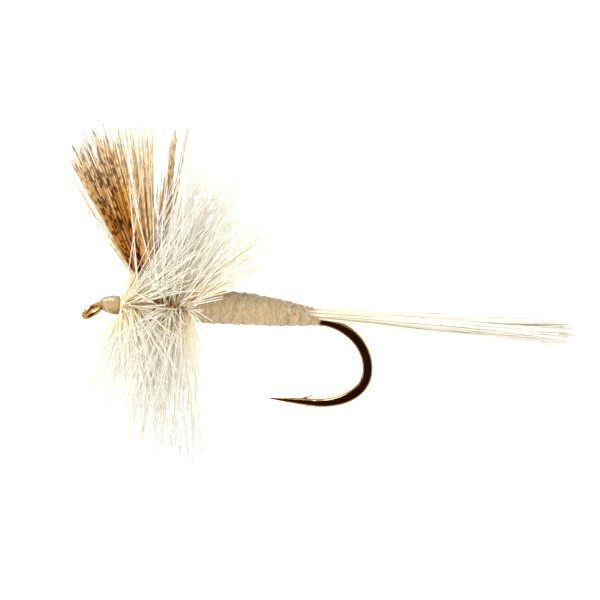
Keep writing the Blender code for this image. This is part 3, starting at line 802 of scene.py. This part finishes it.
def coil(profile, pitch, steps=22):
    """A close helix of thread on a profile of (x, height, radius) or (x, radius)."""
    start, end = profile[0][0], profile[-1][0]
    turns = (end - start) / pitch
    line = []
    for i in range(int(turns * steps) + 1):
        turn = i / steps
        x = start + turn * pitch
        values = along_profile(profile, x)
        height, under = values if len(values) == 2 else (0.0, values[0])
        q = 2 * math.pi * turn
        out = under + THREAD_RADIUS * 0.6
        line.append((x, out * math.sin(q), height + out * math.cos(q)))
    return line


def head_crossing():
    """The last strand of the head's thread, which slants across the others."""
    line = []
    for t in np.linspace(0, 1, 30):
        x, q = 0.70 - 0.72 * t, 5.2 * t + 0.4
        (under,) = along_profile(HEAD_CONE, x)
        line.append((x, 0.46 * math.sin(q) * under / 0.43, 0.46 * math.cos(q) * under / 0.43))
    return line


def make_thread(waxed, thread, fibres):
    sunk_cone = [(x, r - 0.016) for x, r in HEAD_CONE]
    piece = wind("head_thread", [coil(sunk_cone, 0.052), head_crossing()], fibres, waxed, 8)
    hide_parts("head_wraps")
    piece = wind("wing_dam_thread", [coil(DAM, 0.05)], fibres, thread)
    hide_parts("wing_dam")
    piece = wind("wing_lashing_thread", [coil(LASHING, 0.055)], fibres, thread)
    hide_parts("wing_lashing")


def make_cores(waxed, thread):
    """The windings under the outer ones, so that no gap shows between them."""
    rings = [(Vector((x, 0, 0)), 2 * r, 2 * r) for x, r in HEAD_CONE]
    add_solid("head_underwraps", *swept(rings, 32), waxed, "cream_thread")
    rings = [(Vector((x, 0, h)), 2 * (r - 0.02), 2 * (r - 0.02)) for x, h, r in DAM]
    add_solid("dam_underwraps", *swept(rings, 32), thread, "cream_thread")


def make_varnish(finish):
    """A thin uneven film over the head, rounded off at its two ends."""
    profile = [(-0.20, 0.14), (-0.17, 0.22), (-0.10, 0.30), (-0.02, 0.365)]
    profile += [(x, r + 0.044) for x, r in HEAD_CONE[2:-1]] + [(0.77, 0.47), (0.79, 0.42)]
    sides, points = 48, []
    spans = [np.linspace(a[0], b[0], 5)[:-1] for a, b in zip(profile, profile[1:])]
    xs = np.concatenate(spans + [[profile[-1][0]]])
    for x in xs:
        (radius,) = along_profile(profile, x)
        for j in range(sides):
            q = 2 * math.pi * j / sides
            wavy = radius + 0.003 * math.sin(3 * q + 5 * x) + 0.002 * math.sin(5 * q - 7 * x)
            points.append((x, wavy * math.sin(q), wavy * math.cos(q)))
    faces = tube_faces(len(xs), sides)
    piece = add_solid("varnish_coat", points, faces, finish, "clear_varnish", 180)
    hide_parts("head_varnish")


# ---------------------------------------------------------------- body


def body_point(x, q, lump=True):
    """A point of the body's skin at angle q, on its spiral of turns, with or without the fur's lumps."""
    height, radius = along_profile(BODY, x)
    t = (x - BODY[0][0]) / (BODY[-1][0] - BODY[0][0])
    wave = math.cos(math.pi * (t * BODY_TURNS - q / (2 * math.pi)))
    radius += 0.065 * (abs(wave) ** 0.7 - 0.5)
    if lump:
        radius += 0.014 * math.sin(9 * q + 31 * x) * math.sin(17 * x - 4 * q)
        radius += 0.010 * math.sin(23 * q - 47 * x)
    return (x, radius * math.sin(q), height + radius * math.cos(q))


def make_body(fur, fur_hair, painted_lit_hair, fibres):
    """Spun fur, with short hairs all round and longer hairs on top. The hairs on top are coloured paler, a
    painted highlight of the top light.
    """
    sides, rings, points = 96, 240, []
    for i in range(rings):
        x = mix(BODY[0][0], BODY[-1][0], i / (rings - 1))
        points += [body_point(x, 2 * math.pi * j / sides) for j in range(sides)]
    piece = add_solid("fur_body", points, tube_faces(rings, sides), fur, "cream_fur", 180)
    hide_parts("body_dubbing", "tail_lashing")
    hairs, painted_lit_strands = Strands(), Strands()
    for _ in range(BODY_HAIRS):
        x, q = chance.uniform(BODY[0][0], BODY[-1][0]), chance.uniform(0, 2 * math.pi)
        root = np.array(body_point(x, q, False))
        out = np.array((0, math.sin(q), math.cos(q)))
        round_way = np.array((0, math.cos(q), -math.sin(q))) * chance.choice((-1, 1))
        top = smooth_step((math.cos(q) - 0.3) / 0.5)
        lift = abs(chance.gauss(0.10, 0.16)) + 0.3 * top * chance.random()
        way = round_way + out * lift + ALONG * chance.gauss(0, 0.5)
        # Hairs on top take the paler finish: painted highlight of the top light.
        painted_lit = top * chance.random() > 0.62
        length = chance.uniform(0.5, 1.0) if painted_lit else chance.uniform(0.2, 0.6)
        line = bent_line(root - out * 0.03, way, length, 5, -out * length * chance.uniform(0.1, 0.5))
        kind = painted_lit_strands if painted_lit else hairs
        # The random darker tint is left off on top, so the top comes out lighter: painted highlight of the
        # top light.
        kind.add(line, np.linspace(0.0085, 0.003, 5), tint=chance.random() * (1 - top))
    grow_fibres("fur_hairs", hairs, fibres, fur_hair, "cream_fur", 3)
    grow_fibres("guard_hairs", painted_lit_strands, fibres, painted_lit_hair, "cream_fur", 3)


# ---------------------------------------------------------------- hackles


def stem_point(side, turn):
    """(centre, outward, bears barbs) at a turn of a hackle stem, on the windings under it. The stem goes
    past the wings' feet in one half turn, and bears no barbs above them.
    """
    angle = side * math.pi / 2 + 2 * math.pi * turn
    crosses_at = HACKLE_REAR_TURNS - (0.0 if side < 0 else 0.5)
    part = (turn - crosses_at) / HACKLE_CROSSING_TURNS
    jump = HACKLE_REAR_END - HACKLE_FRONT - HACKLE_PITCH / 2
    x = HACKLE_REAR - HACKLE_PITCH * turn - jump * smooth_step(part)
    height, under = along_profile(STEM_BED, x)
    outward = np.array((0, math.sin(angle), math.cos(angle)))
    return np.array((x, 0, height)) + outward * (under + 0.07), outward, not 0.05 < part < 0.95


def barb_lean(x, outward):
    """How far a barb leans back, in degrees. The wings push aside those that stand up beside them."""
    up = outward[2]
    if x > WING_STATION:
        behind = (x - HACKLE_REAR_END) / (HACKLE_REAR - HACKLE_REAR_END)
        lean = mix(mix(-14, 10, behind), mix(-3, 66, behind), smooth_step((up - 0.1) / 0.85))
        if chance.random() < 0.06:
            lean += chance.uniform(-26, -6) if up > 0.2 else chance.uniform(-12, 14 if up < -0.5 else 6)
        return lean + chance.gauss(0, 5)
    ahead = max(0.0, (HACKLE_FRONT - x) / (HACKLE_FRONT - 0.83))
    if up > 0.1:
        pushed = chance.random() < 0.9
        return chance.uniform(16, mix(20, 62, up * up)) if pushed else chance.uniform(-14 * up, 8)
    lean = mix(12, mix(3, -33, smooth_step((-up - 0.4) / 0.45)), ahead**0.8)
    if chance.random() < 0.07:
        lean += chance.uniform(20, 80) if up > -0.5 else chance.uniform(-14, 24)
    lean += chance.gauss(0, 6)
    return lean if up < -0.45 else max(lean, 2)


def barb_length(kind, lean, outward, rear):
    """Barbs behind the wings are longer where they stand up, most where they lean back. Some are short."""
    length = HACKLE_BARB * mix(0.88, 1.10, chance.random())
    if rear and outward[2] > 0.5:
        length *= 1.17 + 0.16 * smooth_step((lean - 0.5) / 0.4)
    elif not rear:
        length *= 1.08
    return length * mix(0.45, 0.95, chance.random()) if kind > 0.66 else length


def make_hackle(name, side, cad_node, trees, finishes):
    """A feather wound on its edge: a stem in turns along the shank, with barbs that stand out all round."""
    turns = HACKLE_REAR_TURNS + HACKLE_CROSSING_TURNS + HACKLE_FRONT_TURNS
    strands, stem = Strands(), Strands()
    line = [stem_point(side, turns * i / 180)[0] for i in range(181)]
    stem.add(line, np.linspace(0.07, 0.04, len(line)))
    for i in range(HACKLE_BARBS):
        turn = turns * (1 - (1 - (i + chance.random()) / HACKLE_BARBS) ** 1.08)
        centre, outward, bears = stem_point(side, turn)
        if not bears and outward[2] > -0.1 or abs(outward[2]) < 0.35 and chance.random() < 0.3:
            continue
        rear = centre[0] > WING_STATION
        lean = math.radians(barb_lean(centre[0], outward))
        aside = math.radians(chance.gauss(0, 12))
        if outward[2] > 0.3:
            aside -= 0.3 * outward[1]
        around = np.array((0, outward[2], -outward[1]))
        way = outward * math.cos(lean) + ALONG * math.sin(lean) + around * math.sin(aside)
        kind = chance.random()
        length = barb_length(kind, lean, outward, rear)
        bend = random_way() * abs(chance.gauss(0, 0.05)) * length
        if rear and outward[2] > 0.2:
            bend += ALONG * (mix(0.0, 0.08, chance.random()) * length)
        points = bent_line(centre, way, length, 9, bend)
        reach = np.linspace(0, 1, len(points))
        root = 0.044 if kind < 0.25 else 0.030
        fringe = 0.20 * (1 - reach) ** 0.5 + 0.03
        strands.add(points, mix(root, 0.021, reach), fringe, around, chance.random() ** 2)
    web = {"Spacing": 0.17 * MM, "Width": 0.0065 * MM, "Angle": 0.5, "Scatter": 0.9}
    barbs = grow_feather(name, strands, trees, finishes, "cream_hackle", 3, **web)
    grow_fibres(name + "_stem", stem, trees[0], finishes[0], "cream_hackle", 8)
    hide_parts(cad_node)


# ---------------------------------------------------------------- tail


def make_tail(trees, finishes):
    """A bundle of stiff barbs that spreads a little, with barbules that are longest near the tips."""
    strands = Strands()
    for _ in range(TAIL_BARBS):
        y, z = chance.gauss(0, 0.15), TAIL_HEIGHT + chance.uniform(-0.16, 0.20)
        end = mix(0.87, 1.0, chance.random()) * (TAIL_END - TAIL_START) + TAIL_START
        tip_y = y * TAIL_SPREAD + chance.gauss(0, 0.18)
        tip_z = 0.40 + (z - TAIL_HEIGHT) * TAIL_SPREAD + chance.gauss(0, 0.20)
        t = np.linspace(0, 1, 16)
        bow, wave = chance.gauss(0, 0.14), chance.gauss(0, 0.10)
        x = mix(TAIL_START, end, t)
        ys = mix(y, tip_y, t**1.3) + wave * np.sin(math.pi * t) * t
        zs = mix(z, tip_z, t**1.15) + bow * np.sin(math.pi * t)
        zs = zs + 0.28 * t**5 * chance.uniform(-0.4, 1.2)
        line, thick = np.stack([x, ys, zs], 1), mix(0.050, 0.017, t**1.2)
        fringe = 0.15 + 0.24 * np.clip((t - 0.66) / 0.25, 0, 1)
        strands.add(line, thick, fringe, random_way(), chance.random() ** 2)
    web = {"Spacing": 0.068 * MM, "Width": 0.009 * MM, "Angle": 0.4, "Scatter": 0.8}
    piece = grow_feather("tail", strands, trees, finishes, "cream_tail", 4, **web)
    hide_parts(*(f"tail_fibre_{i:02d}" for i in range(1, 14)))


# ---------------------------------------------------------------- wings


def wing_root(side):
    return np.array((WING_STATION + 0.12, side * 0.13, 0.42))


def wing_tip(side, tips, place):
    """Where the barb at a place in the fan ends. The place runs from 0 at the front to 1 at the rear."""
    spots = np.linspace(0, 1, len(tips))
    x, z = (float(np.interp(place, spots, values)) for values in np.array(tips).T)
    return np.array((x, side * z * math.tan(math.radians(WING_SIDEWAYS)), z))


def wing_strand(side, tips, place, length, depth):
    """A barb's line from the shank's top, gathered through the post's thread, to its place in the fan."""
    root = wing_root(side)
    stray = np.array((chance.gauss(0, 0.03), depth * 0.30, chance.gauss(0, 0.07)))
    tip = root + (wing_tip(side, tips, place) + stray - root) * length
    middle = wing_tip(side, tips, 0.5) - root
    middle /= np.linalg.norm(middle)
    across = ALONG - middle * middle[0]
    start = root + across * (place - 0.5) * 0.30 + np.array((0, depth * 0.07, 0))
    knot = root + middle * 0.9 + across * (place - 0.5) * 0.42 + np.array((0, depth * 0.10, 0))
    s = np.concatenate([np.linspace(0, 0.24, 8)[:-1], np.linspace(0.24, 1, 15)])[:, None]
    straight = start + (tip - start) * s
    gather = (knot - (start + (tip - start) * 0.1)) * np.exp(-(((s - 0.1) / 0.085) ** 2))
    bow = across * chance.gauss(0, 0.05) + np.array((0, chance.gauss(0, 0.10), 0))
    return straight + gather + bow * np.sin(math.pi * s)


def wing_places(name):
    """[(place in the fan, share of its full length, richness of colour)] for each barb."""
    if name == "left":
        barbs = [(0.0, 1.0, 0.12), (0.015, 0.97, 0.05), (0.05, 0.98, 0.30), (0.06, 1.0, 0.15)]
        for i in range(WING_LONG_BARBS):
            place = 0.09 + 0.91 * (i + 0.3 + 0.4 * chance.random()) / WING_LONG_BARBS
            rich = float(np.interp(place, WING_PLACES, WING_RICHNESS))
            barbs.append((place, chance.uniform(0.88, 1.02), rich + chance.gauss(0, 0.05)))
        for i in range(WING_SHORT_BARBS):
            place = mix(0.13, 0.52, (i + chance.random()) / WING_SHORT_BARBS)
            barbs.append((place, chance.uniform(0.74, 0.94), 1.0))
        return barbs
    barbs = [(0.70 + chance.gauss(0, 0.034), chance.uniform(0.9, 1.0), 0.54) for _ in range(16)]
    barbs += [(1.0 + chance.gauss(0, 0.028), chance.uniform(0.9, 1.02), 0.50) for _ in range(16)]
    barbs += [(chance.uniform(0.05, 0.95), chance.uniform(0.6, 0.92), 0.30) for _ in range(24)]
    return barbs


def make_wing(name, finish, thread, trees):
    """A fan of barred barbs, bound into a post at its foot."""
    side, tips = WINGS[name]
    strands = Strands()
    for place, length, rich in wing_places(name):
        depth = chance.uniform(-1, 1)
        line = wing_strand(side, tips, place, length, depth)
        t = np.linspace(0, 1, len(line))
        along = np.interp(t, (0, 0.2, 0.35, 0.75, 1.0), (0.9, 1.0, 1.0, 0.76, 0.34))
        thick = mix(0.060, 0.016, t**1.8) * (1 + 0.22 * rich)
        fringe = np.interp(t, (0, 0.15, 0.3, 0.85, 1.0), (0.02, 0.05, 0.20, 0.17, 0.06))
        plane = np.cross(line[-1] - line[0], (0, 1, 0))
        plane /= np.linalg.norm(plane)
        tint = chance.random() ** 2
        strands.add(line, thick, fringe, plane, tint, place * 5 + depth * 0.1, rich * along)
    web = {"Spacing": 0.030 * MM, "Width": 0.015 * MM, "Angle": 0.42, "Scatter": 0.3}
    piece = grow_feather(f"wing_{name}", strands, trees, (finish, finish), "barred_flank", 4, **web)
    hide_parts(*(f"wing_fibre_{name}_{i}" for i in range(1, 10)))
    make_post(name, side, tips, thread, trees[0])


def make_butts(finish, fibres):
    """The cut ends of the wings' barbs, bound back along the shank."""
    strands = Strands()
    for i in range(WING_BUTTS):
        q = chance.uniform(-2.2, 2.2)
        end = chance.uniform(3.3, 4.45)
        line = []
        for x in np.linspace(2.45, end, 7):
            height, under = along_profile(STEM_BED, x)
            lift = under + 0.03 + 0.05 * chance.random()
            line.append((x, lift * math.sin(q), height + lift * math.cos(q)))
        strands.add(line, 0.045, tint=0.3, across=i * 0.3, rich=chance.uniform(0.4, 0.9))
    grow_fibres("wing_butts", strands, fibres, finish, "barred_flank", 4)


def make_post(name, side, tips, thread, fibres):
    """A few turns of thread round the wing's foot."""
    root = wing_root(side)
    up = wing_tip(side, tips, 0.5) - root
    up /= np.linalg.norm(up)
    ahead = ALONG - up * up[0]
    ahead /= np.linalg.norm(ahead)
    aside = np.cross(up, ahead)
    q = np.linspace(0, 2 * math.pi * POST_TURNS, POST_TURNS * 24)
    rise = np.linspace(0.20, 0.72, len(q))[:, None]
    line = root + up * rise + ahead * 0.29 * np.cos(q)[:, None] + aside * 0.22 * np.sin(q)[:, None]
    piece = wind(f"wing_post_{name}_thread", [line], fibres, thread, radius=POST_THREAD_RADIUS)
    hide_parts("wing_post_" + name)


# ---------------------------------------------------------------- the fly


def main():
    make_camera()
    make_studio()
    make_floor()
    fibres = fibre_tree()
    trees = (fibres, barbule_tree())
    waxed = thread_finish("waxed_thread", (0.38, 0.30, 0.18), (0.45, 0.37, 0.24), (0.38, 0.29, 0.17))
    # The windings' thread is lighter than the head's: partly its own cream, partly painted light against the
    # shade of the fibres over it.
    thread = thread_finish("cream_thread", (0.62, 0.50, 0.31), (0.78, 0.67, 0.46), (0.62, 0.46, 0.26))
    hackle = feather_finish("hackle_barbs", (1.0, 0.98, 0.905), (0.73, 0.715, 0.67), 0.71)
    web = feather_finish("hackle_web", (1.0, 0.98, 0.91), (0.75, 0.74, 0.70), 0.71, 0.6)
    tail_foot, tail_root, tail_tip = (0.88, 0.81, 0.67), (0.90, 0.855, 0.76), (0.88, 0.875, 0.85)
    tail = feather_finish("tail_barbs", tail_root, tail_tip, 0.70, 0.5, tail_foot)
    flank = flank_finish("barred_flank")
    underfur, fur_tip = (0.28, 0.21, 0.115), (0.64, 0.56, 0.41)
    fur_hair = feather_finish("fur_hairs", underfur, fur_tip, 0.5, 0.8, underfur)
    # Paler colours for the longer hairs on the body's top: painted highlight of the top light.
    painted_lit_foot, painted_lit_root, painted_lit_tip = (0.56, 0.46, 0.30), (0.66, 0.57, 0.40), (0.86, 0.81, 0.70)
    painted_lit_hair = feather_finish("guard_hairs", painted_lit_root, painted_lit_tip, 0.6, 0.6, painted_lit_foot)
    make_hook(bronze_finish())
    make_thread(waxed, thread, fibres)
    make_cores(waxed, thread)
    make_varnish(varnish_finish())
    make_body(fur_finish(), fur_hair, painted_lit_hair, fibres)
    make_wing("left", flank, thread, trees)
    make_wing("right", flank, thread, trees)
    make_butts(flank, fibres)
    make_hackle("hackle_rear", -1, "hackle_first", trees, (hackle, web))
    make_hackle("hackle_front", 1, "hackle_second", trees, (hackle, web))
    make_tail(trees, (tail, web))
    # The hidden windings get a lightened cream too: painted light against the shade of the fibres over them.
    hidden = hidden_thread_finish()
    for node in ("thread_base", "butt_lashing"):
        for slot in frame["nodes"][node].material_slots:
            slot.material = hidden


main()
